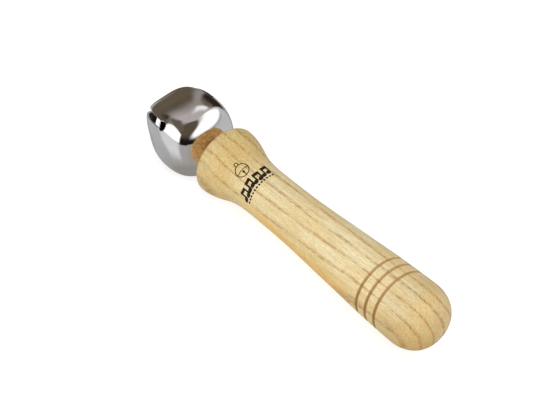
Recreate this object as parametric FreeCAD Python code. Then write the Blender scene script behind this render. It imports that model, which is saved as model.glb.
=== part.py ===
"""Single-bell sleigh bell on a turned handle.

One stamped jingle bell is screwed to the end of a turned ash handle. The handle lies along X, from
its domed butt at -X to the flared head at +X, and the bell's mouth faces +X. Lengths are in
millimetres. The origin is on the handle's axis, halfway along the whole instrument.
"""
import FreeCAD, Part
import math
import os

# ---- handle: stations are distances from the butt's tip --------------------------------------
HANDLE_LENGTH = 130.0
BUTT_RADIUS = 14.1
BUTT_DOME_LENGTH = 13.0
BUTT_DOME_BLUNTNESS = 2.8        # 2 would be an ellipse, more is blunter
GRIP_STATIONS = [(20.0, 14.0), (32.0, 13.6), (45.0, 12.9), (60.0, 12.1), (78.0, 11.2)]
WAIST_STATION = 98.0
WAIST_RADIUS = 10.9
FLARE_STATIONS = [(109.0, 11.25), (114.5, 12.2), (119.5, 13.85), (124.5, 15.25)]
HEAD_RADIUS = 15.7
HEAD_EDGE_ROUNDING = 1.0
GROOVE_STATIONS = [20.8, 26.0, 31.1]
GROOVE_WIDTH = 1.4
GROOVE_DEPTH = 0.85
GROOVE_OVERCUT = 0.5             # how far a groove's cutter stands out of the wood

# ---- bell: a one-piece stamped shell, rounded square across, flatter at its base -------------
SPACER_LENGTH = 6.8              # a wooden collar stands the bell off the handle's end
BELL_FLAT_HALF_WIDTH = 16.5      # half the width across the flats, at the belt
BELL_HALF_LENGTH = 19.2          # half of the pole-to-pole length
BELL_DRAW = 4.2                  # both poles lie this much nearer the mouth than on an even shape
BELL_PROFILE_POWER = 2.29        # along the axis, at the belt: 2 would be an ellipse
BELL_PROFILE_POWER_GAIN = 0.17   # added at the mouth, taken off at the base
BELL_SQUARENESS_BASE = 2.2       # across the axis: 2 is round, more is squarer
BELL_SQUARENESS_BELT = 2.9
BELL_SQUARENESS_MOUTH = 4.4
BELL_LAND_RADIUS = 6.0           # flat seat round the screw hole
BELL_SHEET = 0.8
BELL_CORNER_ANGLE = 36.3         # about X, from +Y towards +Z: a slot runs along every corner
SLOT_WIDTH = 2.9
KEYHOLE_DIAMETER = 4.0
KEYHOLE_AHEAD_OF_BELT = 2.9
SCREW_HOLE_DIAMETER = 4.6

# ---- fixing and pellet -----------------------------------------------------------------------
SPACER_DIAMETER = 10.0
SPACER_CHAMFER = 0.4
INNER_WASHER_DIAMETER = 9.6
INNER_WASHER_THICKNESS = 0.8
SCREW_HEAD_DIAMETER = 8.0
SCREW_HEAD_HEIGHT = 2.5
SCREW_CORE_DIAMETER = 3.0
SCREW_THREAD_DIAMETER = 4.2
SCREW_THREAD_PITCH = 1.8
SCREW_IN_WOOD = 22.0
PILOT_HOLE_DIAMETER = 3.0
PILOT_HOLE_DEPTH = 24.0
RECESS_ARM = 4.4
RECESS_WIDTH = 1.1
RECESS_DEPTH = 1.5
PELLET_DIAMETER = 10.0
PELLET_GAP = 0.1                 # between the pellet and the wall it lies against

DOME_STEPS = 8                   # spans of the butt dome's curve
WALL_POINTS = 32                 # round each cross-section of the bell
WALL_SECTIONS = 21               # from the base seat to the mouth
MOUTH_CAP_RADIUS = 1.0           # inside the crossing of the slots, so it is cut away


# ---- bell's form: height runs from -1 at the base's pole, through 0 at the belt, to 1 at the mouth
def profile_power(height):
    return BELL_PROFILE_POWER + BELL_PROFILE_POWER_GAIN * height


def squareness(height):
    swing = (BELL_SQUARENESS_MOUTH - BELL_SQUARENESS_BASE) / 2.0
    rise = (BELL_SQUARENESS_MOUTH + BELL_SQUARENESS_BASE) / 2.0 - BELL_SQUARENESS_BELT
    return BELL_SQUARENESS_BELT + swing * height + rise * height ** 2


def narrowing(height):
    """Width at this height as a part of the width at the belt."""
    power = profile_power(height)
    return (1.0 - abs(height) ** power) ** (1.0 / power)


def from_belt(height, half_length):
    return half_length * height + BELL_DRAW * height ** 2


def height_at(radius, sign):
    """Height where the flats stand at this radius, on the base's side (-1) or the mouth's (1)."""
    height = sign * 0.9
    for _ in range(40):
        power = profile_power(height)
        height = sign * (1.0 - (radius / BELL_FLAT_HALF_WIDTH) ** power) ** (1.0 / power)
    return height


LAND_HEIGHT = height_at(BELL_LAND_RADIUS, -1.0)
TIP_HEIGHT = height_at(SLOT_WIDTH / math.sqrt(2.0), 1.0)
LAND_TO_BELT = -from_belt(LAND_HEIGHT, BELL_HALF_LENGTH)
BELT_TO_TIPS = from_belt(TIP_HEIGHT, BELL_HALF_LENGTH)
OVERALL_LENGTH = HANDLE_LENGTH + SPACER_LENGTH + LAND_TO_BELT + BELT_TO_TIPS
BUTT_X = -OVERALL_LENGTH / 2.0
HEAD_X = BUTT_X + HANDLE_LENGTH
LAND_X = HEAD_X + SPACER_LENGTH
BELT_X = LAND_X + LAND_TO_BELT
KEYHOLE_X = BELT_X + KEYHOLE_AHEAD_OF_BELT


def point(x, radius, angle=0.0):
    """A point at this station and radius; the angle is about X, from +Y towards +Z."""
    turn = math.radians(angle)
    return FreeCAD.Vector(x, radius * math.cos(turn), radius * math.sin(turn))


def turned(edges):
    """Solid of revolution about the handle's axis from a closed outline."""
    face = Part.Face(Part.Wire(edges))
    return face.revolve(FreeCAD.Vector(0, 0, 0), FreeCAD.Vector(1, 0, 0), 360.0)


def turned_polygon(points):
    return turned(Part.makePolygon(points + [points[0]]).Edges)


def rod(x, length, diameter):
    return Part.makeCylinder(diameter / 2.0, length, FreeCAD.Vector(x, 0, 0), FreeCAD.Vector(1, 0, 0))


def spline(points, start_tangent, end_tangent):
    curve = Part.BSplineCurve()
    curve.interpolate(Points=points, InitialTangent=start_tangent, FinalTangent=end_tangent)
    return curve.toShape()


# ---- handle ------------------------------------------------------------------------------------
def butt_dome_points():
    """Blunt dome from the tip to where the grip begins."""
    points = []
    for step in range(DOME_STEPS + 1):
        rise = math.sin(math.radians(90.0 * step / DOME_STEPS))
        drop = math.cos(math.radians(90.0 * step / DOME_STEPS))
        radius = BUTT_RADIUS * rise ** (2.0 / BUTT_DOME_BLUNTNESS)
        points.append(point(BUTT_X + BUTT_DOME_LENGTH * (1.0 - drop), radius))
    return points


def groove(station, radius):
    """V groove, cut as a turned ring."""
    x = BUTT_X + station
    lip = radius + GROOVE_OVERCUT
    half = GROOVE_WIDTH / 2.0 * (GROOVE_DEPTH + GROOVE_OVERCUT) / GROOVE_DEPTH
    return turned_polygon([point(x - half, lip), point(x + half, lip), point(x, radius - GROOVE_DEPTH)])


def grip_radius(station):
    """Radius of the grip between two of its stations."""
    outline = [(BUTT_DOME_LENGTH, BUTT_RADIUS)] + GRIP_STATIONS
    for (s0, r0), (s1, r1) in zip(outline, outline[1:]):
        if s0 <= station <= s1:
            return r0 + (r1 - r0) * (station - s0) / (s1 - s0)
    raise ValueError("station is off the grip")


def handle():
    along = FreeCAD.Vector(1, 0, 0)
    dome = spline(butt_dome_points(), FreeCAD.Vector(0, 1, 0), along)
    stations = [(BUTT_DOME_LENGTH, BUTT_RADIUS)] + GRIP_STATIONS
    stations += [(WAIST_STATION, WAIST_RADIUS)] + FLARE_STATIONS
    stations += [(HANDLE_LENGTH - HEAD_EDGE_ROUNDING, HEAD_RADIUS)]
    grip = spline([point(BUTT_X + s, r) for s, r in stations], along, along)
    corner_x = HEAD_X - HEAD_EDGE_ROUNDING
    corner_r = HEAD_RADIUS - HEAD_EDGE_ROUNDING
    bulge = HEAD_EDGE_ROUNDING * math.sqrt(0.5)
    edge = Part.Arc(point(corner_x, HEAD_RADIUS), point(corner_x + bulge, corner_r + bulge),
                    point(HEAD_X, corner_r)).toShape()
    end_face = Part.makeLine(point(HEAD_X, corner_r), point(HEAD_X, 0))
    axis = Part.makeLine(point(HEAD_X, 0), point(BUTT_X, 0))
    body = turned([dome, grip, edge, end_face, axis])
    for station in GROOVE_STATIONS:
        body = body.cut(groove(station, grip_radius(station)))
    return body.cut(rod(HEAD_X - PILOT_HOLE_DEPTH, PILOT_HOLE_DEPTH + 1.0, PILOT_HOLE_DIAMETER))


# ---- bell --------------------------------------------------------------------------------------
def cross_section(x, half_width, power):
    """Closed rounded-square curve across the axis, with a corner at every slot."""
    points = []
    for step in range(WALL_POINTS):
        angle = 360.0 * step / WALL_POINTS
        across = abs(math.cos(math.radians(angle - 45.0))) ** power
        up = abs(math.sin(math.radians(angle - 45.0))) ** power
        points.append(point(x, half_width * (across + up) ** (-1.0 / power), angle + BELL_CORNER_ANGLE))
    curve = Part.BSplineCurve()
    curve.interpolate(points, PeriodicFlag=True)
    return Part.Wire(curve.toShape())


def bell_form(inset):
    """Solid bell shape, moved in by the inset, from its base seat to a small cap at the mouth."""
    first = math.asin(LAND_HEIGHT)
    last = math.asin(height_at(MOUTH_CAP_RADIUS, 1.0))
    sections = []
    for step in range(WALL_SECTIONS):
        height = math.sin(first + (last - first) * step / (WALL_SECTIONS - 1))
        x = BELT_X + from_belt(height, BELL_HALF_LENGTH - inset)
        half_width = (BELL_FLAT_HALF_WIDTH - inset) * narrowing(height)
        sections.append(cross_section(x, half_width, squareness(height)))
    return Part.makeLoft(sections, True, False)


def slot_cutter(angle):
    """Slab through the axis from the keyholes out past the mouth, with a keyhole at each end."""
    reach = 3.0 * BELL_HALF_LENGTH
    slab = Part.makeBox(reach, 2.0 * reach, SLOT_WIDTH,
                        FreeCAD.Vector(KEYHOLE_X, -reach, -SLOT_WIDTH / 2.0))
    keyhole = Part.makeCylinder(KEYHOLE_DIAMETER / 2.0, 2.0 * reach,
                                FreeCAD.Vector(KEYHOLE_X, -reach, 0), FreeCAD.Vector(0, 1, 0))
    cutter = slab.fuse(keyhole)
    cutter.rotate(FreeCAD.Vector(0, 0, 0), FreeCAD.Vector(1, 0, 0), angle)
    return cutter


def bell_shell():
    seat = rod(LAND_X, BELL_SHEET, 4.0 * BELL_LAND_RADIUS)
    shell = bell_form(0.0).cut(bell_form(BELL_SHEET).cut(seat))
    for angle in (BELL_CORNER_ANGLE, BELL_CORNER_ANGLE + 90.0):
        shell = shell.cut(slot_cutter(angle))
    return shell.cut(rod(LAND_X - 1.0, 4.0, SCREW_HOLE_DIAMETER))


# ---- fixing and pellet -------------------------------------------------------------------------
def ring(x, thickness, outer_diameter, inner_diameter):
    return rod(x, thickness, outer_diameter).cut(rod(x - 1.0, thickness + 2.0, inner_diameter))


def spacer_collar():
    blank = rod(HEAD_X, SPACER_LENGTH, SPACER_DIAMETER)
    rims = [edge for edge in blank.Edges if edge.Curve.TypeId == "Part::GeomCircle"]
    bore = rod(HEAD_X - 1.0, SPACER_LENGTH + 2.0, SCREW_HOLE_DIAMETER)
    return blank.makeChamfer(SPACER_CHAMFER, rims).cut(bore)


def inner_washer():
    return ring(LAND_X + BELL_SHEET, INNER_WASHER_THICKNESS, INNER_WASHER_DIAMETER, SCREW_HOLE_DIAMETER)


def fixing_screw():
    """Pan-head wood screw, driven from inside the bell through its base into the handle."""
    seat_x = LAND_X + BELL_SHEET + INNER_WASHER_THICKNESS
    tip_x = HEAD_X - SCREW_IN_WOOD
    core = SCREW_CORE_DIAMETER / 2.0
    crest = SCREW_THREAD_DIAMETER / 2.0
    outline = [point(tip_x, 0), point(tip_x + 2.0 * core, core)]
    ridge_x = tip_x + 2.0 * core + SCREW_THREAD_PITCH / 4.0
    while ridge_x < HEAD_X - SCREW_THREAD_PITCH:
        outline += [point(ridge_x, core), point(ridge_x + SCREW_THREAD_PITCH / 4.0, crest),
                    point(ridge_x + SCREW_THREAD_PITCH / 2.0, core)]
        ridge_x += SCREW_THREAD_PITCH
    outline += [point(seat_x, core), point(seat_x, 0)]
    shank = turned_polygon(outline)
    head = rod(seat_x, SCREW_HEAD_HEIGHT, SCREW_HEAD_DIAMETER)
    head = head.makeFillet(SCREW_HEAD_HEIGHT * 0.6, [edge for edge in head.Edges
                           if edge.CenterOfMass.x > seat_x + SCREW_HEAD_HEIGHT - 0.01])
    top_x = seat_x + SCREW_HEAD_HEIGHT
    for angle in (0.0, 90.0):
        arm = Part.makeBox(RECESS_DEPTH + 1.0, RECESS_ARM, RECESS_WIDTH,
                           FreeCAD.Vector(top_x - RECESS_DEPTH, -RECESS_ARM / 2.0, -RECESS_WIDTH / 2.0))
        arm.rotate(FreeCAD.Vector(0, 0, 0), FreeCAD.Vector(1, 0, 0), angle)
        head = head.cut(arm)
    return head.fuse(shank).removeSplitter()


def pellet():
    """Steel ball lying on the lower wall of the bell."""
    fall = BELL_FLAT_HALF_WIDTH - BELL_SHEET - PELLET_DIAMETER / 2.0 - PELLET_GAP
    return Part.makeSphere(PELLET_DIAMETER / 2.0, FreeCAD.Vector(BELT_X, 0, -fall))


PARTS = {
    "handle": handle,
    "bell_shell": bell_shell,
    "spacer_collar": spacer_collar,
    "inner_washer": inner_washer,
    "fixing_screw": fixing_screw,
    "pellet": pellet,
}

os.makedirs("parts", exist_ok=True)
for name, make in PARTS.items():
    shape = make()
    if shape.ShapeType == "Compound" and len(shape.Solids) == 1:
        shape = shape.Solids[0]
    shape.exportStep("parts/" + name + ".step")
    box = shape.BoundBox
    state = "valid" if shape.isValid() else "NOT VALID"
    print(name, state, len(shape.Solids), "solid", "x %.3f to %.3f" % (box.XMin, box.XMax))
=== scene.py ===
"""Looks of the single-bell sleigh bell: handle, bell, printed mark, pellet, fixings, light and camera.

Lengths are written in millimetres and turned into metres when a mesh is made. The handle lies along
X with its butt at -X; angles round it are about X, from +Y towards +Z.
"""
import math
import random

import bmesh
import bpy
import numpy as np
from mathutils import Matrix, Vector


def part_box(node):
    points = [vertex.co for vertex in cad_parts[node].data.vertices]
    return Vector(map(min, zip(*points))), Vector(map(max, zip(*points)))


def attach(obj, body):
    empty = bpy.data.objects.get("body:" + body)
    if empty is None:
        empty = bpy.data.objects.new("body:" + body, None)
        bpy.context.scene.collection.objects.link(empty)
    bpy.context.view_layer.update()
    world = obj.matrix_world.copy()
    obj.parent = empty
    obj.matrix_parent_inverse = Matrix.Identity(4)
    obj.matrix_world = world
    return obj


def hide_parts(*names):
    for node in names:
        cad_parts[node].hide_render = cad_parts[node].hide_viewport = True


MM = 0.001

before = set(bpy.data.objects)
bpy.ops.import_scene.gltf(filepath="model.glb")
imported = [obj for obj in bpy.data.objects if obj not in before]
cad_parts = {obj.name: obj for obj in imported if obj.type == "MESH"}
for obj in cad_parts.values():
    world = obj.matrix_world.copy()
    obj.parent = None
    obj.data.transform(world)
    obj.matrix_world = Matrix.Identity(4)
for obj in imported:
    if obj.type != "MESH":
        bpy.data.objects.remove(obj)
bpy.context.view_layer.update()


# ---- places read from the frame ------------------------------------------------------------------
def box_mm(node):
    """Lowest and highest corner of a CAD node, in millimetres."""
    low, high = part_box(node)
    return low / MM, high / MM


handle_low, handle_high = box_mm("handle")
bell_low, _ = box_mm("bell_shell")
pellet_low, pellet_high = box_mm("pellet")
washer_low, _ = box_mm("inner_washer")
BUTT_X = handle_low.x
HEAD_X = handle_high.x
LAND_X = bell_low.x
BELT_X = (pellet_low.x + pellet_high.x) / 2.0
BELL_SHEET = washer_low.x - LAND_X
PELLET_CENTRE = (pellet_low + pellet_high) / 2.0
PELLET_RADIUS = (pellet_high.x - pellet_low.x) / 2.0
FLOOR_Z = bell_low.z

# ---- handle --------------------------------------------------------------------------------------
BUTT_RADIUS = 14.1
BUTT_DOME_LENGTH = 13.0
BUTT_DOME_BLUNTNESS = 2.8
GRIP_STATIONS = [(20.0, 14.0), (32.0, 13.6), (45.0, 12.9), (60.0, 12.1), (78.0, 11.2), (98.0, 10.9)]
FLARE_STATIONS = [(109.0, 11.25), (114.5, 12.2), (119.5, 13.85), (124.5, 15.25)]
HEAD_RADIUS = 15.7
HEAD_EDGE_ROUNDING = 1.0
GROOVE_STATIONS = [20.8, 26.0, 31.1]
GROOVE_WIDTH = 1.4
GROOVE_DEPTH = 0.85
GROOVE_ROOT_ROUNDING = 0.15
GROOVE_LIP_ROUNDING = 0.03       # square of a share of the groove's depth
GROOVE_LIP_RISE = 0.02           # brings the rounded lips back up to the surface
PILOT_HOLE_RADIUS = 1.5
PILOT_HOLE_DEPTH = 24.0
END_FACE_RADII = (12.0, 9.0, 6.0, 3.5, PILOT_HOLE_RADIUS)
END_FACE_SKIN = 0.2              # points this near the head's end belong to its flat
HANDLE_SIDES = 192
DOME_STEPS = 25
BODY_STEP = 1.0
GROOVE_POINTS = 29
HEAD_EDGE_STEPS = 8

# ---- bell ----------------------------------------------------------------------------------------
BELL_FLAT_HALF_WIDTH = 16.5
BELL_HALF_LENGTH = 19.2
BELL_DRAW = 4.2
BELL_PROFILE_POWER = 2.29
BELL_PROFILE_POWER_GAIN = 0.17
BELL_SQUARENESS_BASE = 2.2
BELL_SQUARENESS_BELT = 2.9
BELL_SQUARENESS_MOUTH = 4.4
BELL_CORNER_ANGLE = 36.3
SLOT_HALF_WIDTH = 1.45
KEYHOLE_RADIUS = 2.0
KEYHOLE_AHEAD_OF_BELT = 2.9
SCREW_HOLE_RADIUS = 2.3
SHEET_EDGE_ROUNDING = 0.26
KEYHOLE_X = BELT_X + KEYHOLE_AHEAD_OF_BELT
PETAL_COLUMNS = 40
BASE_ROWS = 16
KEYHOLE_ROWS = 14
PETAL_ROWS = 30
EDGE_STEPS = 4
LAND_RINGS = 3
TIP_HEIGHT_GUESS = 0.95
TIP_PASSES = 40
EDGE_HALVINGS = 50
PLATED_FACES = 0                 # material slots of the bell
INSIDE_FACES = 1

# ---- pellet --------------------------------------------------------------------------------------
PELLET_UNDERSIZE = 0.06          # keeps the seam inside the ball's true radius
SEAM_HEIGHT = 0.05
SEAM_SPREAD = 0.05               # sine of the angle from the seam's plane
SEAM_AXIS = Vector((0.35, 0.2, 0.92)).normalized()
DENT_COUNT = 26
DENT_SPREADS = (0.06, 0.2)       # radians
DENT_DEPTHS = (0.01, 0.05)
DENT_SEED = 7
PELLET_RINGS = 64
PELLET_SIDES = 128

# ---- printed mark: u runs round the handle and v along it, from the mark's middle ----------------
MARK_STATION = 103.4
MARK_ANGLE = 57.0
MARK_RADIUS = 11.05              # the handle's radius there
INK_LIFT = 0.012
INK_FILM = 0.03
STROKE_STEP = 0.3
STROKE_SIDES = (-1.0, -0.33, 0.33, 1.0)
ARC_STEP = 10.0                  # degrees
BLOB_RINGS = 4
BLOB_SIDES = 24
NOTE_PAIRS = 4
FIRST_PAIR_U = -8.3
PAIR_SPACING = 4.5
PAIR_LEAN = 0.12
NOTE_SPACING = 2.5
NOTE_HEAD_V = -1.35
NOTE_HEAD_HALF_SIZE = (1.25, 0.98)
NOTE_HEAD_TILT = 0.4             # radians
STEM_U = 0.85
STEM_FOOT_V = -1.2
STEM_TOP_V = 2.4
STEM_WIDTH = 0.74
BEAM_U = 0.48
BEAM_V = 1.95
BEAM_LENGTH = 3.24
BEAM_RUN = 3.2                   # the beam rises by the lean over this length
BEAM_WIDTH = 1.5
DOT_COUNT = 12
FIRST_DOT_U = -8.5
DOT_SPACING = 1.5
DOT_V = -3.4
DOT_HALF_SIZE = (0.52, 0.46)
ICON_U = 0.6
ICON_V = 7.5
ICON_RADIUS = 2.9
ICON_STROKE = 0.38
ICON_LOOP_RISE = 3.6
ICON_LOOP_RADIUS = 0.75
ICON_LOOP_STROKE = 0.36
ICON_BELT_DROP = 9.0             # the belt is a shallow arc about a centre this far below
ICON_BELT_RADIUS = 9.2
ICON_BELT_HALF_ANGLE = 17.0
ICON_BELT_STROKE = 0.34
ICON_SLOT_TOP = 1.2              # below the icon's centre, as the keyhole
ICON_SLOT_STROKE = 0.42
ICON_KEYHOLE_DROP = 0.9
ICON_KEYHOLE_RADIUS = 0.55


# ---- mesh helpers --------------------------------------------------------------------------------
def polar(x, radius, angle):
    """Point in millimetres at this station and radius; the angle is in degrees."""
    turn = math.radians(angle)
    return (x, radius * math.cos(turn), radius * math.sin(turn))


class Builder:
    """Collects points and faces, joins points that coincide and drops faces that vanish.

    New faces take the material slot in self.slot.
    """

    STEPS_PER_MM = 20000.0       # points in the same step are one point

    def __init__(self):
        self.points = []
        self.faces = []
        self.face_slots = []
        self.index = {}
        self.slot = 0

    def point(self, place):
        key = tuple(round(value * self.STEPS_PER_MM) for value in place)
        if key not in self.index:
            self.index[key] = len(self.points)
            self.points.append(tuple(value * MM for value in place))
        return self.index[key]

    def face(self, *corners):
        kept = []
        for corner in corners:
            if corner not in kept:
                kept.append(corner)
        if len(kept) > 2:
            self.faces.append(kept)
            self.face_slots.append(self.slot)

    def grid(self, rows):
        """Faces between neighbouring rows of equally many places."""
        indices = [[self.point(place) for place in row] for row in rows]
        for lower, upper in zip(indices, indices[1:]):
            for a, b, c, d in zip(lower, lower[1:], upper[1:], upper):
                self.face(a, b, c, d)

    def mesh_object(self, name, sharp_angle):
        mesh = bpy.data.meshes.new(name)
        mesh.from_pydata(self.points, [], self.faces)
        mesh.polygons.foreach_set("material_index", self.face_slots)
        mesh.shade_smooth()
        mesh.set_sharp_from_angle(angle=math.radians(sharp_angle))
        made = bpy.data.objects.new(name, mesh)
        bpy.context.scene.collection.objects.link(made)
        return made


def face_outwards(made):
    work = bmesh.new()
    work.from_mesh(made.data)
    bmesh.ops.recalc_face_normals(work, faces=work.faces)
    work.to_mesh(made.data)
    work.free()


def point_mask(made, name, value_at):
    """A number at every point, which the materials read by name."""
    mask = made.data.attributes.new(name, "FLOAT", "POINT")
    mask.data.foreach_set("value", [value_at(vertex.co) for vertex in made.data.vertices])


# ---- handle's mesh -------------------------------------------------------------------------------
class ClampedSpline:
    """Smooth curve through the stations, level at both ends."""

    def __init__(self, stations):
        self.s = np.array([s for s, _ in stations])
        self.r = np.array([r for _, r in stations])
        count = len(stations)
        step = np.diff(self.s)
        slope = np.diff(self.r) / step
        system = np.zeros((count, count))
        right = np.zeros(count)
        system[0, 0] = system[-1, -1] = 1.0
        for i in range(1, count - 1):
            system[i, i - 1] = step[i]
            system[i, i] = 2.0 * (step[i - 1] + step[i])
            system[i, i + 1] = step[i - 1]
            right[i] = 3.0 * (step[i] * slope[i - 1] + step[i - 1] * slope[i])
        self.tangent = np.linalg.solve(system, right)

    def __call__(self, s):
        i = min(max(int(np.searchsorted(self.s, s)) - 1, 0), len(self.s) - 2)
        width = self.s[i + 1] - self.s[i]
        t = (s - self.s[i]) / width
        return float((2 * t ** 3 - 3 * t ** 2 + 1) * self.r[i]
                     + (t ** 3 - 2 * t ** 2 + t) * width * self.tangent[i]
                     + (3 * t ** 2 - 2 * t ** 3) * self.r[i + 1]
                     + (t ** 3 - t ** 2) * width * self.tangent[i + 1])


HANDLE_LENGTH = HEAD_X - BUTT_X
body_radius = ClampedSpline([(BUTT_DOME_LENGTH, BUTT_RADIUS)] + GRIP_STATIONS + FLARE_STATIONS
                            + [(HANDLE_LENGTH - HEAD_EDGE_ROUNDING, HEAD_RADIUS)])


def groove_cut(s):
    """Depth of the turned grooves at this station, with softened lips and root."""
    depth = 0.0
    for station in GROOVE_STATIONS:
        wall = 1.0 - math.hypot(s - station, GROOVE_ROOT_ROUNDING) / (GROOVE_WIDTH / 2.0)
        soft = 0.5 * (wall + math.sqrt(wall * wall + GROOVE_LIP_ROUNDING))
        if abs(s - station) < GROOVE_WIDTH:
            depth = max(depth, GROOVE_DEPTH * soft - GROOVE_LIP_RISE)
    return depth


def handle_profile():
    """(station, radius, depth of groove from 0 to 1) from the butt's tip to the pilot hole's bottom."""
    outline = []
    for step in range(DOME_STEPS):
        turn = math.radians(90.0 * step / DOME_STEPS)
        radius = BUTT_RADIUS * math.sin(turn) ** (2.0 / BUTT_DOME_BLUNTNESS)
        outline.append((BUTT_DOME_LENGTH * (1.0 - math.cos(turn)), radius, 0.0))
    stations = list(np.arange(BUTT_DOME_LENGTH, HANDLE_LENGTH - HEAD_EDGE_ROUNDING, BODY_STEP))
    for station in GROOVE_STATIONS:
        stations = [s for s in stations if abs(s - station) > GROOVE_WIDTH]
        stations += list(np.linspace(station - GROOVE_WIDTH, station + GROOVE_WIDTH, GROOVE_POINTS))
    for s in sorted(stations):
        cut = groove_cut(s)
        outline.append((s, body_radius(s) - cut, cut / GROOVE_DEPTH))
    for step in range(HEAD_EDGE_STEPS + 1):
        turn = math.radians(90.0 * step / HEAD_EDGE_STEPS)
        outline.append((HANDLE_LENGTH - HEAD_EDGE_ROUNDING * (1.0 - math.sin(turn)),
                        HEAD_RADIUS - HEAD_EDGE_ROUNDING * (1.0 - math.cos(turn)), 0.0))
    for radius in END_FACE_RADII:
        outline.append((HANDLE_LENGTH, radius, 0.0))
    outline.append((HANDLE_LENGTH - PILOT_HOLE_DEPTH, PILOT_HOLE_RADIUS, 0.0))
    outline.append((HANDLE_LENGTH - PILOT_HOLE_DEPTH, 0.0, 0.0))
    return outline


def make_handle():
    builder = Builder()
    outline = handle_profile()
    angles = [360.0 * side / HANDLE_SIDES for side in range(HANDLE_SIDES)] + [0.0]
    builder.grid([[polar(BUTT_X + s, r, -angle) for angle in angles] for s, r, _ in outline])
    made = builder.mesh_object("turned_handle", sharp_angle=40.0)
    depths = {round((BUTT_X + s) * MM, 7): depth for s, _, depth in outline}
    end_x = (HEAD_X - END_FACE_SKIN) * MM
    end_radius = (HEAD_RADIUS - HEAD_EDGE_ROUNDING / 2.0) * MM
    point_mask(made, "groove", lambda co: depths.get(round(co.x, 7), 0.0))
    point_mask(made, "end_grain", lambda co: float(co.x > end_x and co.yz.length < end_radius))
    return made


# ---- bell's mesh ---------------------------------------------------------------------------------
# Height runs from -1 at the base's pole, through 0 at the belt, to 1 at the mouth.
def profile_power(height):
    """Power of the curve that a flat of the bell follows along the axis."""
    return BELL_PROFILE_POWER + BELL_PROFILE_POWER_GAIN * height


def squareness(height):
    """Power of the cross-section: 2 is round, and more is squarer."""
    swing = (BELL_SQUARENESS_MOUTH - BELL_SQUARENESS_BASE) / 2.0
    rise = (BELL_SQUARENESS_MOUTH + BELL_SQUARENESS_BASE) / 2.0 - BELL_SQUARENESS_BELT
    return BELL_SQUARENESS_BELT + swing * height + rise * height ** 2


def flat_radius(height, inset):
    """Distance from the axis to the middle of a flat, this far in from the outer face."""
    power = profile_power(height)
    return (BELL_FLAT_HALF_WIDTH - inset) * (1.0 - abs(height) ** power) ** (1.0 / power)


def wall_radius(height, turn, inset):
    """Radius at this angle from a corner, in radians."""
    power = squareness(height)
    across = abs(math.cos(turn - math.pi / 4.0)) ** power
    up = abs(math.sin(turn - math.pi / 4.0)) ** power
    return flat_radius(height, inset) * (across + up) ** (-1.0 / power)


def station_of(height, inset):
    """X of this height; both ends are drawn towards the mouth."""
    return BELT_X + (BELL_HALF_LENGTH - inset) * height + BELL_DRAW * height ** 2


def height_of(x, inset):
    """Height at this X."""
    reach = BELL_HALF_LENGTH - inset
    return (math.sqrt(reach ** 2 + 4.0 * BELL_DRAW * (x - BELT_X)) - reach) / (2.0 * BELL_DRAW)


def tip_height(offset, inset):
    """Height where a petal between two slot edges ends in a point."""
    narrow = offset * math.sqrt(2.0) / (BELL_FLAT_HALF_WIDTH - inset)
    height = TIP_HEIGHT_GUESS
    for _ in range(TIP_PASSES):
        power = profile_power(height)
        height = (1.0 - narrow ** power) ** (1.0 / power)
    return height


def edge_turn(height, offset, inset):
    """Angle from the corner at which the wall stands this far from the slot's middle plane."""
    low, high = 0.0, math.pi / 4.0
    for _ in range(EDGE_HALVINGS):
        middle = (low + high) / 2.0
        if wall_radius(height, middle, inset) * math.sin(middle) < offset:
            low = middle
        else:
            high = middle
    return high


def between(first, last, count):
    """Heights from first to last, closer together towards the poles."""
    a, b = math.asin(first), math.asin(last)
    return [math.sin(a + (b - a) * step / count) for step in range(count + 1)]


def petal_rows(inset, ease):
    """(height, offset of the slot's edge) up a petal whose edges are eased back by this much."""
    first = height_of(LAND_X + (BELL_SHEET if inset > BELL_SHEET / 2.0 else 0.0), inset)
    hole = KEYHOLE_RADIUS + ease
    edge = SLOT_HALF_WIDTH + ease
    below = height_of(KEYHOLE_X - hole, inset)
    rows = [(height, 0.0) for height in between(first, below, BASE_ROWS)]
    end = math.pi - math.asin(edge / hole)
    for step in range(1, KEYHOLE_ROWS + 1):
        turn = end * step / KEYHOLE_ROWS
        rows.append((height_of(KEYHOLE_X - hole * math.cos(turn), inset), hole * math.sin(turn)))
    above = rows[-1][0]
    rows += [(height, edge) for height in between(above, tip_height(edge, inset), PETAL_ROWS)[1:]]
    return rows


def petal_place(height, turn, corner, inset):
    return polar(station_of(height, inset), wall_radius(height, turn, inset), corner + math.degrees(turn))


def petal_surface(builder, corner, inset, ease):
    """One petal's outer or inner face; returns its first row."""
    rows = []
    for height, offset in petal_rows(inset, ease):
        start = edge_turn(height, offset, inset) if offset > 0.0 else 0.0
        span = math.pi / 2.0 - 2.0 * start
        rows.append([petal_place(height, start + span * column / PETAL_COLUMNS, corner, inset)
                     for column in range(PETAL_COLUMNS + 1)])
    builder.grid(rows)
    return rows[0]


def sheet_edge_stops():
    """(inset, ease) round the rounded edge of the sheet, from its outer face to its inner one."""
    stops = []
    for step in range(EDGE_STEPS + 1):
        turn = math.radians(90.0 * step / EDGE_STEPS)
        stops.append((SHEET_EDGE_ROUNDING * (1.0 - math.cos(turn)),
                      SHEET_EDGE_ROUNDING * (1.0 - math.sin(turn))))
    return stops + [(BELL_SHEET - inset, ease) for inset, ease in reversed(stops)]


def petal_edges(builder, corner):
    """The sheet's edge along both sides of a petal, from the keyhole's foot to the tip."""
    loops = []
    for inset, ease in sheet_edge_stops():
        rows = petal_rows(inset, ease)[BASE_ROWS:]
        loops.append([(height, edge_turn(height, offset, inset) if offset > 0.0 else 0.0, inset)
                      for height, offset in rows])
    builder.grid([[petal_place(h, turn, corner, inset) for h, turn, inset in loop] for loop in loops])
    builder.grid([[petal_place(h, math.pi / 2.0 - turn, corner, inset) for h, turn, inset in loop]
                  for loop in loops])


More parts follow.
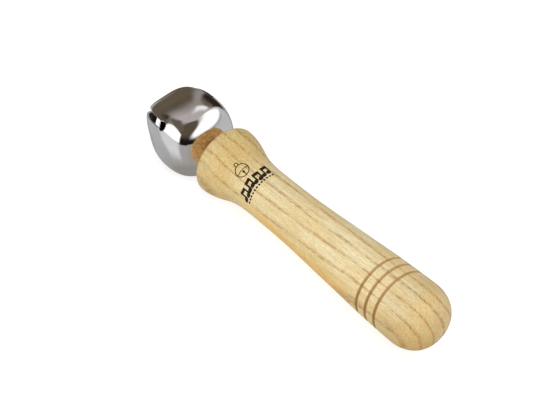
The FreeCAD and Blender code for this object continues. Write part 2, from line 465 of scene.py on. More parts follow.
def land_ring(builder, rim, x):
    """Flat floor from the petals' first row in to the screw hole; returns the hole's edge."""
    rings = []
    for step in range(LAND_RINGS + 1):
        share = step / LAND_RINGS
        ring = []
        for _, y, z in rim:
            radius = math.hypot(y, z)
            scale = (radius + (SCREW_HOLE_RADIUS - radius) * share) / radius
            ring.append((x, y * scale, z * scale))
        rings.append(ring)
    builder.grid(rings)
    return rings[-1]


def make_bell():
    builder = Builder()
    outer_rim = []
    inner_rim = []
    for quarter in range(4):
        corner = BELL_CORNER_ANGLE + 90.0 * quarter
        builder.slot = PLATED_FACES
        outer_rim += petal_surface(builder, corner, 0.0, SHEET_EDGE_ROUNDING)
        petal_edges(builder, corner)
        builder.slot = INSIDE_FACES
        inner_rim += petal_surface(builder, corner, BELL_SHEET, SHEET_EDGE_ROUNDING)
    hole_inner = land_ring(builder, inner_rim, LAND_X + BELL_SHEET)
    builder.slot = PLATED_FACES
    hole_outer = land_ring(builder, outer_rim, LAND_X)
    builder.grid([hole_outer, hole_inner])
    made = builder.mesh_object("bell_petals", sharp_angle=32.0)
    face_outwards(made)
    return made


# ---- pellet's mesh: a cold-headed ball with a faint seam and small dents -------------------------
def pellet_dents():
    """(direction, spread, depth) of each dent."""
    randomness = random.Random(DENT_SEED)
    dents = []
    for _ in range(DENT_COUNT):
        direction = Vector([randomness.gauss(0.0, 1.0) for _ in range(3)]).normalized()
        dents.append((direction, randomness.uniform(*DENT_SPREADS), randomness.uniform(*DENT_DEPTHS)))
    return dents


def pellet_radius(way, dents):
    radius = PELLET_RADIUS - PELLET_UNDERSIZE
    radius += SEAM_HEIGHT * math.exp(-(way.dot(SEAM_AXIS) / SEAM_SPREAD) ** 2)
    for direction, spread, depth in dents:
        radius -= depth * math.exp(-(way.angle(direction) / spread) ** 2)
    return radius


def make_pellet():
    dents = pellet_dents()
    builder = Builder()
    rows = []
    for ring in range(PELLET_RINGS + 1):
        tilt = math.pi * ring / PELLET_RINGS
        row = []
        for side in range(PELLET_SIDES + 1):
            turn = 2.0 * math.pi * (side % PELLET_SIDES) / PELLET_SIDES
            way = Vector((math.sin(tilt) * math.cos(turn), math.sin(tilt) * math.sin(turn), math.cos(tilt)))
            row.append(tuple(PELLET_CENTRE + way * pellet_radius(way, dents)))
        rows.append(row)
    builder.grid(rows)
    made = builder.mesh_object("steel_pellet", sharp_angle=60.0)
    face_outwards(made)
    return made


# ---- mark's mesh: beamed notes, a small bell outline and a row of dots ---------------------------
def on_handle(u, v, lift):
    """Place on the handle's surface: u runs round it, v along it towards the head."""
    s = MARK_STATION + v
    angle = MARK_ANGLE + math.degrees(u / MARK_RADIUS)
    return polar(BUTT_X + s, body_radius(s) + lift, angle)


def ink_faces(rows):
    """The top and the bottom of a film over a grid of (u, v) places."""
    top = [[on_handle(u, v, INK_LIFT + INK_FILM) for u, v in row] for row in rows]
    bottom = [[on_handle(u, v, -INK_FILM) for u, v in row] for row in rows]
    return top, bottom


def ink_patch(builder, rows):
    """A thin film over a grid of (u, v) places, closed on its four sides."""
    top, bottom = ink_faces(rows)
    builder.grid(top)
    builder.grid([list(reversed(row)) for row in bottom])
    builder.grid([[row[0] for row in top], [row[0] for row in bottom]])
    builder.grid([[row[-1] for row in bottom], [row[-1] for row in top]])
    builder.grid([bottom[0], top[0]])
    builder.grid([top[-1], bottom[-1]])


def ink_stroke(builder, path, width):
    """A line of this width along a path of (u, v) places."""
    rows = []
    for place, (before, after) in zip(path, zip([path[0]] + path[:-1], path[1:] + [path[-1]])):
        du, dv = after[0] - before[0], after[1] - before[1]
        size = math.hypot(du, dv)
        nu, nv = -dv / size * width / 2.0, du / size * width / 2.0
        rows.append([(place[0] + nu * side, place[1] + nv * side) for side in STROKE_SIDES])
    ink_patch(builder, rows)


def ink_line(builder, start, end, width):
    """A straight line between two (u, v) places."""
    steps = max(2, int(math.dist(start, end) / STROKE_STEP))
    path = [(start[0] + (end[0] - start[0]) * i / steps, start[1] + (end[1] - start[1]) * i / steps)
            for i in range(steps + 1)]
    ink_stroke(builder, path, width)


def ink_blob(builder, centre, half_size, tilt=0.0):
    """A filled ellipse."""
    rows = []
    for ring in range(BLOB_RINGS + 1):
        share = ring / BLOB_RINGS
        row = []
        for step in range(BLOB_SIDES + 1):
            turn = 2.0 * math.pi * (step % BLOB_SIDES) / BLOB_SIDES
            a = half_size[0] * share * math.cos(turn)
            b = half_size[1] * share * math.sin(turn)
            row.append((centre[0] + a * math.cos(tilt) - b * math.sin(tilt),
                        centre[1] + a * math.sin(tilt) + b * math.cos(tilt)))
        rows.append(row)
    top, bottom = ink_faces(rows)
    builder.grid(top)
    builder.grid(bottom)
    builder.grid([top[-1], bottom[-1]])


def ink_arc(builder, centre, radius, first, last, width):
    """A round line from the first to the last angle, in degrees."""
    steps = max(4, int(abs(last - first) / ARC_STEP))
    path = []
    for step in range(steps + 1):
        turn = math.radians(first + (last - first) * step / steps)
        path.append((centre[0] + radius * math.cos(turn), centre[1] + radius * math.sin(turn)))
    ink_stroke(builder, path, width)


def beamed_notes(builder, u, lean):
    """A pair of notes joined by a heavy beam."""
    for side in (0.0, NOTE_SPACING):
        rise = lean * side
        stem = u + side + STEM_U
        ink_blob(builder, (u + side, NOTE_HEAD_V + rise), NOTE_HEAD_HALF_SIZE, NOTE_HEAD_TILT)
        ink_line(builder, (stem, STEM_FOOT_V + rise), (stem, STEM_TOP_V + rise), STEM_WIDTH)
    beam = u + BEAM_U
    ink_line(builder, (beam, BEAM_V), (beam + BEAM_LENGTH, BEAM_V + lean * BEAM_RUN), BEAM_WIDTH)


def bell_icon(builder):
    """A round bell in line: its loop, its belt and a slot that ends in a keyhole."""
    loop = (ICON_U, ICON_V + ICON_LOOP_RISE)
    belt = (ICON_U, ICON_V - ICON_BELT_DROP)
    slot_foot = (ICON_U, ICON_V - ICON_RADIUS)
    slot_top = (ICON_U, ICON_V - ICON_SLOT_TOP)
    keyhole = (ICON_U, ICON_V - ICON_KEYHOLE_DROP)
    ink_arc(builder, (ICON_U, ICON_V), ICON_RADIUS, -90.0, 270.0, ICON_STROKE)
    ink_arc(builder, loop, ICON_LOOP_RADIUS, -60.0, 240.0, ICON_LOOP_STROKE)
    ink_arc(builder, belt, ICON_BELT_RADIUS, 90.0 - ICON_BELT_HALF_ANGLE, 90.0 + ICON_BELT_HALF_ANGLE,
            ICON_BELT_STROKE)
    ink_line(builder, slot_foot, slot_top, ICON_SLOT_STROKE)
    ink_blob(builder, keyhole, (ICON_KEYHOLE_RADIUS, ICON_KEYHOLE_RADIUS))


def make_mark():
    builder = Builder()
    for pair in range(NOTE_PAIRS):
        beamed_notes(builder, FIRST_PAIR_U + PAIR_SPACING * pair, PAIR_LEAN if pair % 2 else -PAIR_LEAN)
    for dot in range(DOT_COUNT):
        ink_blob(builder, (FIRST_DOT_U + DOT_SPACING * dot, DOT_V), DOT_HALF_SIZE)
    bell_icon(builder)
    made = builder.mesh_object("printed_mark", sharp_angle=30.0)
    face_outwards(made)
    return made


# ---- node helpers --------------------------------------------------------------------------------
class Graph:
    """Short forms for building a node tree; a value may be a socket or a plain number."""

    VECTOR_SCALE = 3             # socket numbers, where a name is shared or not always there
    MIX_FIRST, MIX_SECOND, MIX_RESULT = 6, 7, 2

    def __init__(self, tree):
        self.tree = tree
        tree.nodes.clear()

    def node(self, kind, **settings):
        made = self.tree.nodes.new(kind)
        for name, value in settings.items():
            setattr(made, name, value)
        return made

    def feed(self, socket, value):
        if isinstance(value, bpy.types.NodeSocket):
            self.tree.links.new(value, socket)
        elif value is not None:
            if isinstance(value, tuple) and len(value) == 3 and socket.type == "RGBA":
                value = value + (1.0,)
            socket.default_value = value

    def math(self, operation, a, b=None, c=None):
        made = self.node("ShaderNodeMath", operation=operation)
        for socket, value in zip(made.inputs, (a, b, c)):
            self.feed(socket, value)
        return made.outputs[0]

    def vector(self, operation, a, b=None, scale=None):
        made = self.node("ShaderNodeVectorMath", operation=operation)
        self.feed(made.inputs[0], a)
        self.feed(made.inputs[1], b)
        self.feed(made.inputs[self.VECTOR_SCALE], scale)
        return made.outputs["Value" if operation in ("DOT_PRODUCT", "LENGTH") else "Vector"]

    def noise(self, place, stretch, detail=2.0, roughness=0.5):
        """Noise whose grains are about this long along each axis."""
        scaled = self.vector("DIVIDE", place, stretch)
        made = self.node("ShaderNodeTexNoise")
        self.feed(made.inputs["Vector"], scaled)
        made.inputs["Scale"].default_value = 1.0
        made.inputs["Detail"].default_value = detail
        made.inputs["Roughness"].default_value = roughness
        return made.outputs["Fac"]

    def remap(self, value, low, high, new_low=0.0, new_high=1.0, smooth=True):
        made = self.node("ShaderNodeMapRange", interpolation_type="SMOOTHSTEP" if smooth else "LINEAR")
        for socket, number in zip(made.inputs, (value, low, high, new_low, new_high)):
            self.feed(socket, number)
        return made.outputs[0]

    def window(self, value, low, high, soft_low, soft_high):
        """1 between low and high, fading out over the soft widths."""
        rising = self.remap(value, low - soft_low, low + soft_low)
        falling = self.remap(value, high - soft_high, high + soft_high, 1.0, 0.0)
        return self.math("MULTIPLY", rising, falling)

    def mix(self, share, first, second, blend="MIX"):
        made = self.node("ShaderNodeMix", data_type="RGBA", blend_type=blend)
        self.feed(made.inputs["Factor"], share)
        self.feed(made.inputs[self.MIX_FIRST], first)
        self.feed(made.inputs[self.MIX_SECOND], second)
        return made.outputs[self.MIX_RESULT]

    def bump(self, height, distance_mm, strength):
        made = self.node("ShaderNodeBump")
        made.inputs["Strength"].default_value = strength
        made.inputs["Distance"].default_value = distance_mm * MM
        self.feed(made.inputs["Height"], height)
        return made.outputs[0]

    def split(self, place):
        """The three coordinates of a place."""
        parts = self.node("ShaderNodeSeparateXYZ")
        self.feed(parts.inputs[0], place)
        return parts.outputs[0], parts.outputs[1], parts.outputs[2]

    def mask(self, name):
        """A number that the mesh holds at each point."""
        return self.node("ShaderNodeAttribute", attribute_name=name).outputs["Fac"]


def new_material(name, metallic=0.0):
    """(material, graph, place in millimetres, shader) ready for its own nodes."""
    material = bpy.data.materials.new(name)
    material.use_nodes = True
    graph = Graph(material.node_tree)
    output = graph.node("ShaderNodeOutputMaterial")
    shader = graph.node("ShaderNodeBsdfPrincipled")
    shader.inputs["Metallic"].default_value = metallic
    graph.feed(output.inputs["Surface"], shader.outputs[0])
    coordinates = graph.node("ShaderNodeTexCoord")
    place = graph.vector("SCALE", coordinates.outputs["Object"], scale=1.0 / MM)
    return material, graph, place, shader


def finish_surface(graph, shader, colour, roughness, height, relief_mm, strength):
    """Feeds the shader; the height, from 0 to 1, becomes a relief this deep."""
    graph.feed(shader.inputs["Base Color"], colour)
    graph.feed(shader.inputs["Roughness"], roughness)
    graph.feed(shader.inputs["Normal"], graph.bump(height, relief_mm, strength))


# ---- ash wood ------------------------------------------------------------------------------------
RING_ANGLE = 165.0               # direction across the growth layers, about X
RING_WIDTH = 5.0
RING_BOW = 62.33                 # radius of the layers at the handle's axis
RING_DRIFT = 0.02                # the layers run slightly out along the handle
RING_SWAY = 3.4
RING_RIPPLE = 0.7
ASH_PALE = (0.755, 0.65, 0.395)
ASH_WARM = (0.725, 0.56, 0.285)
ASH_EARLY = (0.55, 0.345, 0.120)
ASH_PORE = (0.33, 0.165, 0.035)
ASH_GOLD = (0.80, 0.47, 0.10)
ASH_OLIVE = (0.66, 0.47, 0.16)
ASH_FIBRE = (26.0, 0.42, 0.42)   # length and thickness of a fibre's streak
GOLD_SIDE = (0.0, 0.82, -0.57)   # the wood turns gold along this side of the grip
GOLD_STATIONS = (36.0, 98.0)
GOLD_FADE = 12.0
GOLD_FULL = 0.8
LOW_SIDE_SWAY = 0.2              # the low side's edge wanders with the grain
OLIVE_FULL = 0.6
EARLY_FULL = 0.6
PORES_FULL = 0.66
PORES_CUT_OPEN = 0.3             # added where the surface slopes
HEAD_STATIONS = (102.0, 118.0)   # the wood turns olive and darker with painted shade towards the head between these
BUTT_STATIONS = (8.0, 30.0)
# painted shade: the head and the butt darker than the grip, as the light falls on them
HEAD_SHADE_TINT = (0.87, 0.88, 0.87)
BUTT_SHADE_TINT = (0.83, 0.80, 0.74)
SLOPE_TINT = (0.98, 0.91, 0.80)  # a sloping surface cuts the pores open and takes the lacquer darker
# painted shade in the grooves, over their darker cut grain, stronger on the low side
GROOVE_SHADE_BROWN = (0.30, 0.170, 0.045)
GROOVE_SHADE_SIDE = (-0.1, 0.9)         # from high to low; each pair below is for these two
GROOVE_SHADE_REACH = (0.34, 0.07)       # share of the groove's depth where the painted shade is full
GROOVE_SHADE_FULL = (0.72, 0.90)
# the cut end face: darker end grain with painted shade and warm painted bounce light
END_GRAIN_IN_SHADE = (0.96, 0.56, 0.18)
END_PORES_IN_SHADE = (0.62, 0.31, 0.07)
SHADED_END_FULL = 0.92
LACQUER_COAT = 0.22
LACQUER_ROUGHNESS = 0.22


def growth_layers(graph, place, sway):
    """(share of the year gone by, the year's own random number) at this place."""
    turn = math.radians(RING_ANGLE)
    across = graph.vector("DOT_PRODUCT", place, (RING_DRIFT, math.cos(turn), math.sin(turn)))
    beside = graph.vector("DOT_PRODUCT", place, (0.0, -math.sin(turn), math.cos(turn)))
    deep = graph.math("ADD", across, RING_BOW)
    layer = graph.math("SQRT", graph.math("ADD", graph.math("MULTIPLY", deep, deep),
                                          graph.math("MULTIPLY", beside, beside)))
    ripple = graph.noise(place, (9.0, 2.5, 2.5))
    layer = graph.math("MULTIPLY_ADD", sway, RING_SWAY, layer)
    layer = graph.math("MULTIPLY_ADD", ripple, RING_RIPPLE, layer)
    count = graph.math("DIVIDE", layer, RING_WIDTH)
    own = graph.node("ShaderNodeTexWhiteNoise", noise_dimensions="1D")
    graph.feed(own.inputs["W"], graph.math("FLOOR", count))
    return graph.math("FRACT", count), own.outputs["Value"]


def early_wood(graph, place, year, own):
    """The porous band that starts a year, and a weaker one half-way through it, both patchy."""
    fading = graph.remap(year, 0.03, graph.math("MULTIPLY_ADD", own, 0.22, 0.20), 1.0, 0.0)
    rising = graph.remap(year, 0.93, 1.0)
    band = graph.math("MAXIMUM", fading, rising)
    weak = graph.window(year, 0.50, 0.56, 0.04, 0.10)
    band = graph.math("MAXIMUM", band, graph.math("MULTIPLY", weak, graph.math("MULTIPLY", own, 0.7)))
    patchy = graph.remap(graph.noise(place, (14.0, 1.6, 1.6)), 0.3, 0.62, 0.35, 1.0)
    return graph.math("MULTIPLY", band, patchy)


def open_pores(graph, place, early):
    """Short dashes crowded in the early wood, and a few faint ones elsewhere."""
    dashes = graph.remap(graph.noise(place, (2.0, 0.40, 0.40), detail=1.0), 0.50, 0.58)
    crowded = graph.math("MULTIPLY", dashes, graph.remap(early, 0.1, 0.8))
    loose = graph.remap(graph.noise(place, (3.0, 0.30, 0.30), detail=0.0), 0.68, 0.76, 0.0, 0.25)
    return graph.math("MAXIMUM", crowded, loose)


def clear_ash(graph, place, year):
    """Pale and warm clouds, warmer towards the year's end."""
    cloud = graph.noise(place, (34.0, 5.0, 5.0))
    colour = graph.mix(graph.remap(cloud, 0.35, 0.65), ASH_PALE, ASH_WARM)
    late = graph.math("MULTIPLY", graph.remap(year, 0.55, 0.93), 0.35)
    return graph.mix(late, colour, ASH_WARM)


def fibre_streaks(graph, place, fibre):
    """Grey factor that lightens and darkens the wood along its fibres."""
    flecks = graph.noise(place, (1.3, 0.55, 0.55), roughness=0.6)
    streak = graph.remap(graph.math("MULTIPLY_ADD", flecks, 0.5, graph.math("MULTIPLY", fibre, 0.75)),
                         0.42, 0.82, 0.74, 1.19, smooth=False)
    grey = graph.node("ShaderNodeCombineXYZ")
    for socket in grey.inputs:
        graph.feed(socket, streak)
    return grey.outputs[0]


def groove_shade(graph, low_side):
    """Painted shade in the grooves, over their darker cut grain: wider and darker on the low side."""
    reach = graph.remap(low_side, *GROOVE_SHADE_SIDE, *GROOVE_SHADE_REACH)
    groove_shade_share = graph.remap(graph.mask("groove"), 0.0, reach, 0.0, 1.0, smooth=False)
    return graph.math("MULTIPLY", groove_shade_share, graph.remap(low_side, *GROOVE_SHADE_SIDE, *GROOVE_SHADE_FULL))


def ash_material():
    """Clear lacquered ash: growth layers, open pores, fibres, grooves with painted shade, a cut end with
    painted shade and bounce light, and painted shade at the head and butt.
    """
    material, graph, place, shader = new_material("ash_wood")
    sway = graph.noise(place, (60.0, 14.0, 14.0), detail=1.0)
    fibre = graph.noise(place, ASH_FIBRE, detail=3.0, roughness=0.65)
    year, own = growth_layers(graph, place, sway)
    early = early_wood(graph, place, year, own)
    pores = open_pores(graph, place, early)

    station = graph.math("SUBTRACT", graph.split(place)[0], BUTT_X)
    round_place = graph.vector("MULTIPLY", place, (0.0, 1.0, 1.0))
    low_side = graph.vector("DOT_PRODUCT", graph.vector("NORMALIZE", round_place), GOLD_SIDE)
    low_side = graph.math("MULTIPLY_ADD", sway, LOW_SIDE_SWAY, low_side)
    normal = graph.node("ShaderNodeTexCoord").outputs["Normal"]
    facing = graph.math("ABSOLUTE", graph.vector("DOT_PRODUCT", normal, (1.0, 0.0, 0.0)))
    sloping = graph.remap(facing, 0.02, 0.45)
    head = graph.remap(station, *HEAD_STATIONS)
    butt_shade = graph.remap(station, *BUTT_STATIONS, 1.0, 0.0)
    gold = graph.math("MULTIPLY", graph.remap(low_side, 0.78, 1.0, 0.0, GOLD_FULL),
                      graph.window(station, *GOLD_STATIONS, GOLD_FADE, GOLD_FADE))
    olive = graph.math("MAXIMUM", graph.remap(low_side, 0.3, 1.0), head)

    colour = clear_ash(graph, place, year)
    colour = graph.mix(graph.math("MULTIPLY", olive, OLIVE_FULL), colour, ASH_OLIVE)
    colour = graph.mix(gold, colour, ASH_GOLD)
    colour = graph.mix(graph.math("MULTIPLY", early, EARLY_FULL), colour, ASH_EARLY)
    # painted shade over the butt and the head
    colour = graph.mix(butt_shade, colour, BUTT_SHADE_TINT, "MULTIPLY")
    colour = graph.mix(head, colour, HEAD_SHADE_TINT, "MULTIPLY")
    colour = graph.mix(1.0, colour, fibre_streaks(graph, place, fibre), "MULTIPLY")
    pore_weight = graph.math("MULTIPLY_ADD", sloping, PORES_CUT_OPEN, PORES_FULL)
    colour = graph.mix(graph.math("MULTIPLY", pores, pore_weight), colour, ASH_PORE)
    # painted shade in the grooves
    colour = graph.mix(groove_shade(graph, low_side), colour, GROOVE_SHADE_BROWN)
    colour = graph.mix(sloping, colour, SLOPE_TINT, "MULTIPLY")
    speckle = graph.noise(place, (2.0, 4.5, 2.0), detail=3.0, roughness=0.65)
    speckle = graph.remap(speckle, 0.36, 0.66)
    # the end face: end grain with painted shade and warm painted bounce light
    shaded_cut_end = graph.mix(graph.math("MAXIMUM", speckle, early), END_GRAIN_IN_SHADE, END_PORES_IN_SHADE)
    colour = graph.mix(graph.math("MULTIPLY", graph.mask("end_grain"), SHADED_END_FULL), colour, shaded_cut_end)

    shader.inputs["Coat Weight"].default_value = LACQUER_COAT
    shader.inputs["Coat Roughness"].default_value = LACQUER_ROUGHNESS
    height = graph.math("MULTIPLY_ADD", pores, -1.0, graph.math("MULTIPLY", fibre, 0.35))
    finish_surface(graph, shader, colour, graph.remap(fibre, 0.3, 0.7, 0.38, 0.52), height, 0.06, 0.6)
    return material


# ---- collar wood: ash, brown with painted shade --------------------------------------------------
# ash darkened to brown: painted shade in the gap between the handle and the bell
COLLAR_SHADE_BROWN = (0.42, 0.23, 0.075)
COLLAR_SHADE_LIGHT = (0.56, 0.33, 0.120)
COLLAR_DARK = (0.25, 0.12, 0.035)


def collar_wood_material():
    """Brown with painted shade, with streaks along the wood and fine rings left by the turning."""
    material, graph, place, shader = new_material("collar_wood")
    streaks = graph.noise(place, (4.0, 0.35, 0.35), detail=3.0)
    turning = graph.noise(place, (0.18, 40.0, 40.0), detail=1.0)
    colour = graph.mix(graph.remap(streaks, 0.3, 0.7), COLLAR_SHADE_BROWN, COLLAR_SHADE_LIGHT)
    colour = graph.mix(graph.remap(turning, 0.4, 0.7, 0.0, 0.4), colour, COLLAR_DARK)
    height = graph.math("MULTIPLY_ADD", turning, 0.6, streaks)
    finish_surface(graph, shader, colour, graph.remap(streaks, 0.3, 0.7, 0.45, 0.6), height, 0.04, 0.6)
    return material


# ---- metals, ink and floor -----------------------------------------------------------------------
CHROME_DIM = (0.84, 0.84, 0.85)
CHROME_BRIGHT = (0.89, 0.89, 0.90)
# painted shade inside the bell
INSIDE_SHADE_DARK = (0.070, 0.062, 0.055)
INSIDE_SHADE_LIGHT = (0.120, 0.110, 0.100)
PELLET_LIGHT = (0.42, 0.41, 0.40)
PELLET_DARK = (0.20, 0.18, 0.16)
WASHER_LIGHT = (0.60, 0.60, 0.60)
WASHER_DARK = (0.45, 0.45, 0.46)
SCREW_LIGHT = (0.64, 0.63, 0.58)
SCREW_DARK = (0.47, 0.46, 0.44)
INK_BLACK = (0.012, 0.011, 0.010)
INK_WORN = (0.06, 0.045, 0.03)
FLOOR_DIM = (0.34, 0.34, 0.34)
FLOOR_BRIGHT = (0.36, 0.36, 0.36)
FLOOR_GLOW = 0.78                # keeps the floor white, with faint shadows


def chrome_material():
    """Mirror plating, a little hazy, with orange peel and fine scratches."""
    material, graph, place, shader = new_material("bell_chrome", metallic=1.0)
    haze = graph.noise(place, (7.0, 7.0, 7.0), detail=3.0)
    colour = graph.mix(graph.remap(haze, 0.3, 0.7), CHROME_DIM, CHROME_BRIGHT)
    scratches = graph.noise(place, (0.9, 0.05, 6.0), detail=1.0)
    fine = graph.remap(scratches, 0.62, 0.72, 0.0, 0.05)
    roughness = graph.math("ADD", graph.remap(haze, 0.3, 0.7, 0.035, 0.07), fine)
    peel = graph.noise(place, (3.0, 3.0, 3.0))
    finish_surface(graph, shader, colour, roughness, peel, 0.012, 0.5)
    return material


def bell_inside_material():
    """The inside is dark with painted shade, and dull."""
    material, graph, place, shader = new_material("bell_inside", metallic=1.0)
    cloud = graph.noise(place, (2.5, 2.5, 2.5), detail=4.0)
    colour = graph.mix(graph.remap(cloud, 0.3, 0.7), INSIDE_SHADE_DARK, INSIDE_SHADE_LIGHT)
    grit = graph.noise(place, (0.3, 0.3, 0.3))
    finish_surface(graph, shader, colour, graph.remap(cloud, 0.3, 0.7, 0.35, 0.6), grit, 0.02, 0.6)
    return material


def turned_steel_material(name, light, dark):
    """Zinc-plated steel with rings left by the lathe and a cloudy plating."""
    material, graph, place, shader = new_material(name, metallic=1.0)
    x, y, z = graph.split(place)
    radius = graph.math("SQRT", graph.math("ADD", graph.math("POWER", y, 2.0), graph.math("POWER", z, 2.0)))
    path = graph.node("ShaderNodeCombineXYZ")
    graph.feed(path.inputs[0], x)
    graph.feed(path.inputs[1], radius)
    rings = graph.noise(path.outputs[0], (0.12, 0.12, 1.0))
    cloud = graph.noise(place, (1.6, 1.6, 1.6), detail=3.0)
    colour = graph.mix(graph.remap(cloud, 0.3, 0.7), light, dark)
    finish_surface(graph, shader, colour, graph.remap(rings, 0.3, 0.7, 0.2, 0.38), rings, 0.01, 0.5)
    return material


def pellet_material():
    """Bare steel, stained and finely pitted."""
    material, graph, place, shader = new_material("pellet_steel", metallic=1.0)
    cloud = graph.noise(place, (1.4, 1.4, 1.4), detail=4.0)
    colour = graph.mix(graph.remap(cloud, 0.35, 0.7), PELLET_LIGHT, PELLET_DARK)
    pits = graph.noise(place, (0.25, 0.25, 0.25), detail=1.0)
    finish_surface(graph, shader, colour, graph.remap(cloud, 0.3, 0.7, 0.25, 0.5), pits, 0.02, 0.5)
    return material


def ink_material():
    """Dull black print, worn thin in streaks along the grain."""
    material, graph, place, shader = new_material("black_ink")
    wear = graph.noise(place, (1.6, 0.3, 0.3), detail=3.0)
    shader.inputs["Specular IOR Level"].default_value = 0.12
    colour = graph.mix(graph.remap(wear, 0.55, 0.75), INK_BLACK, INK_WORN)
    finish_surface(graph, shader, colour, graph.remap(wear, 0.3, 0.7, 0.4, 0.6), wear, 0.01, 0.4)
    return material


def floor_material():
    material, graph, place, shader = new_material("pale_floor")
    cloud = graph.noise(place, (60.0, 60.0, 60.0))
    graph.feed(shader.inputs["Base Color"], graph.mix(cloud, FLOOR_DIM, FLOOR_BRIGHT))
    shader.inputs["Emission Color"].default_value = (1.0, 1.0, 1.0, 1.0)
    shader.inputs["Emission Strength"].default_value = FLOOR_GLOW
    shader.inputs["Roughness"].default_value = 0.9
    shader.inputs["Specular IOR Level"].default_value = 0.1
    return material


# ---- studio: white cards and dark gaps, placed by direction from the camera's heading ------------
CAMERA_AZIMUTH = 230.5           # 0 looks along +Y, 90 along -X
CAMERA_ELEVATION = 42.19
CAMERA_DISTANCE = 656.8
CAMERA_AIM = (6.6, 2.25, 0.0)
CAMERA_LENS = 104.7
ALL_ROUND = (-400, 400)
DARK_ROOM = (0.010, 0.008, 0.007, 1.0)
DROOP_SPAN = 45.0                # a card's top is down by its droop this far from its crown
PLAIN_GREY = (0.50, 0.50, 0.50)
BACKDROP_WHITE = (1.0, 1.0, 1.0)
LAMP_DISTANCE = 1.4              # in metres
LAMP_SIZE = 0.9                  # in metres
FLOOR_REACH = 3000.0


def camera_back():
    """Direction from the object to the camera."""
    a, e = math.radians(CAMERA_AZIMUTH), math.radians(CAMERA_ELEVATION)
    return Vector((math.sin(a) * math.cos(e), -math.cos(a) * math.cos(e), math.sin(e)))


class Studio:
    """Light by direction, in degrees: azimuth rightwards from the camera's heading, and elevation."""

    def __init__(self, graph):
        ray = graph.node("ShaderNodeTexCoord").outputs["Generated"]
        back = camera_back()
        ahead = Vector((-back.x, -back.y, 0.0)).normalized()
        aside = Vector((ahead.y, -ahead.x, 0.0))
        forward = graph.vector("DOT_PRODUCT", ray, tuple(ahead))
        right = graph.vector("DOT_PRODUCT", ray, tuple(aside))
        up = graph.vector("DOT_PRODUCT", ray, (0.0, 0.0, 1.0))
        self.graph = graph
        self.azimuth = graph.math("DEGREES", graph.math("ARCTAN2", right, forward))
        self.elevation = graph.math("DEGREES", graph.math("ARCSINE", up))
        self.light = DARK_ROOM

    def card(self, colour, az, el, soft_az=(4, 4), soft_el=(4, 4), crown=0.0, droop=0.0, lean=0.0):
        """Lays a patch over the light so far; its top can droop away from its crown and its sides lean."""
        graph = self.graph
        side = graph.math("MULTIPLY_ADD", self.elevation, lean, self.azimuth) if lean else self.azimuth
        top = self.elevation
        if droop:
            off = graph.math("DIVIDE", graph.math("SUBTRACT", self.azimuth, crown), DROOP_SPAN)
            top = graph.math("MULTIPLY_ADD", graph.math("MULTIPLY", off, off), droop, self.elevation)
        rising = graph.remap(self.elevation, el[0] - soft_el[0], el[0] + soft_el[0])
        falling = graph.remap(top, el[1] - soft_el[1], el[1] + soft_el[1], 1.0, 0.0)
        mask = graph.math("MULTIPLY", graph.window(side, az[0], az[1], *soft_az),
                          graph.math("MULTIPLY", rising, falling))
        self.light = graph.mix(mask, self.light, colour)


def lay_cards(studio):
    """Each card lies over those before it."""
    # brown dusk overhead, the lit ceiling ahead, and a brown gap over the left card
    studio.card((0.100, 0.078, 0.052), ALL_ROUND, (27, 400), soft_el=(14, 4))
    studio.card((0.475, 0.430, 0.415), (-100, 75), (47, 400), (35, 16), (16, 4))
    studio.card((0.130, 0.106, 0.082), (-150, -60), (48, 70), (8, 8), (4, 5), crown=-95, droop=6)
    # white card on the left, and the pale table under everything
    studio.card((1.200, 1.200, 1.200), (-148, -88), (4, 48), soft_el=(3, 3), crown=-108, droop=14)
    studio.card((0.400, 0.385, 0.370), ALL_ROUND, (-400, -1), soft_el=(1, 1.5))
    # brown gap between the left card and the far wall, with a darker patch and the table's edge
    studio.card((0.125, 0.098, 0.064), (-84, -2), (-25, 36), (8, 6), (3, 14))
    studio.card((0.055, 0.040, 0.027), (-72, -50), (34, 47), (8, 6), (6, 4))
    studio.card((0.430, 0.420, 0.400), (-60, -18), (-25, -5), (4, 3), (2, 4))
    # straight ahead: a grey streak, an olive patch, a black gap and the lamp's glow above them
    studio.card((0.300, 0.265, 0.240), (0, 13), (-9, 50), (6, 4), (3, 6), lean=0.30)
    studio.card((0.150, 0.115, 0.072), (6, 30), (30, 48), (5, 5), (6, 3))
    studio.card((0.024, 0.018, 0.016), (10, 36), (-9, 33), (4, 3), (3, 9))
    studio.card((0.950, 0.910, 0.910), (-12, 27), (51, 62), (5, 10), (3, 6))
    # the large softbox on the right, its grey edge and the table below it
    studio.card((0.420, 0.400, 0.400), (37, 60), (10, 71), (2, 2))
    studio.card((1.200, 1.200, 1.200), (44, 166), (21, 75), (7, 14), (8, 7), crown=75, droop=9.4)
    studio.card((0.540, 0.535, 0.535), (37, 110), (-60, 18), (2, 8), (2, 8))
    # more of the table: behind on the right, under the left card, beside it, and straight down
    studio.card((0.400, 0.350, 0.290), (140, 400), (-400, 1.5), soft_el=(1, 1))
    studio.card((0.720, 0.710, 0.705), (-146, -86), (-46, 4), (9, 10), (16, 2))
    studio.card((0.470, 0.470, 0.470), (-86, -36), (-48, -3), (8, 6), (12, 2))
    studio.card((0.310, 0.290, 0.255), ALL_ROUND, (-400, -55), soft_el=(1, 10))


def make_studio_world():
    """Reflections see the cards, the camera sees white, and all other light is plain grey."""
    world = bpy.data.worlds.new("studio")
    bpy.context.scene.world = world
    world.use_nodes = True
    graph = Graph(world.node_tree)
    studio = Studio(graph)
    lay_cards(studio)
    path = graph.node("ShaderNodeLightPath")
    plain = graph.mix(path.outputs["Is Camera Ray"], PLAIN_GREY, BACKDROP_WHITE)
    seen = graph.mix(path.outputs["Is Glossy Ray"], plain, studio.light)
    background = graph.node("ShaderNodeBackground")
    graph.feed(background.inputs["Color"], seen)
    output = graph.node("ShaderNodeOutputWorld")
    graph.feed(output.inputs["Surface"], background.outputs[0])


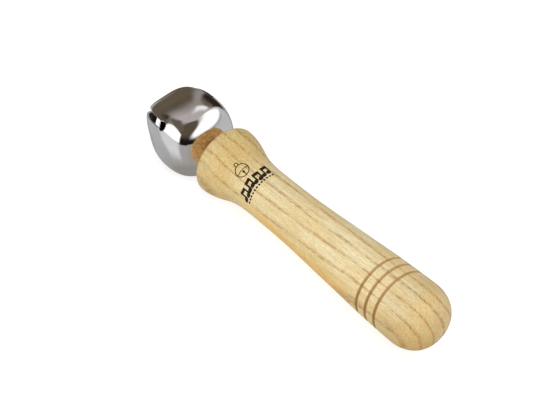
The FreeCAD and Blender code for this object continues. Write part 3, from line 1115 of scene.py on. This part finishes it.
def make_lamp(name, azimuth, elevation, power):
    """Square soft lamp that faces the object; the azimuth is from the camera's heading."""
    back = camera_back()
    heading = math.atan2(-back.x, -back.y) + math.radians(azimuth)
    tilt = math.radians(elevation)
    way = Vector((math.sin(heading) * math.cos(tilt), math.cos(heading) * math.cos(tilt), math.sin(tilt)))
    lamp = bpy.data.lights.new(name, "AREA")
    lamp.size = LAMP_SIZE
    lamp.energy = power
    made = bpy.data.objects.new(name, lamp)
    bpy.context.scene.collection.objects.link(made)
    made.location = way * LAMP_DISTANCE
    made.rotation_mode = "QUATERNION"
    made.rotation_quaternion = way.to_track_quat("Z", "Y")
    made.visible_glossy = False


def make_floor():
    builder = Builder()
    sides = (-FLOOR_REACH, FLOOR_REACH)
    builder.grid([[(x, y, FLOOR_Z) for x in sides] for y in sides])
    floor = builder.mesh_object("floor", sharp_angle=30.0)
    floor.data.materials.append(floor_material())
    floor.visible_glossy = False


def make_camera():
    data = bpy.data.cameras.new("camera")
    data.lens = CAMERA_LENS
    camera = bpy.data.objects.new("camera", data)
    bpy.context.scene.collection.objects.link(camera)
    back = camera_back()
    camera.location = (Vector(CAMERA_AIM) + back * CAMERA_DISTANCE) * MM
    camera.rotation_mode = "QUATERNION"
    camera.rotation_quaternion = back.to_track_quat("Z", "Y")
    bpy.context.scene.camera = camera


# ---- the whole -----------------------------------------------------------------------------------
def add_piece(made, body, node, material):
    """Paints a new piece, puts it on its body and lets it stand for a CAD node, if it has one."""
    made.data.materials.append(material)
    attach(made, body)
    if node:
        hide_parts(node)


def repaint(node, material):
    """Gives a CAD node that is shown as it is a better material."""
    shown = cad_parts[node]
    shown.data.materials.clear()
    shown.data.materials.append(material)


add_piece(make_handle(), "instrument", "handle", ash_material())
bell = make_bell()
add_piece(bell, "instrument", "bell_shell", chrome_material())
bell.data.materials.append(bell_inside_material())
add_piece(make_mark(), "instrument", None, ink_material())
add_piece(make_pellet(), "pellet", "pellet", pellet_material())
repaint("spacer_collar", collar_wood_material())
repaint("inner_washer", turned_steel_material("washer_steel", WASHER_LIGHT, WASHER_DARK))
repaint("fixing_screw", turned_steel_material("screw_steel", SCREW_LIGHT, SCREW_DARK))

make_studio_world()
make_lamp("key", azimuth=165.0, elevation=60.0, power=14.0)
make_lamp("fill", azimuth=-120.0, elevation=30.0, power=3.0)
make_floor()
make_camera()
bpy.context.scene.view_settings.view_transform = "Standard"
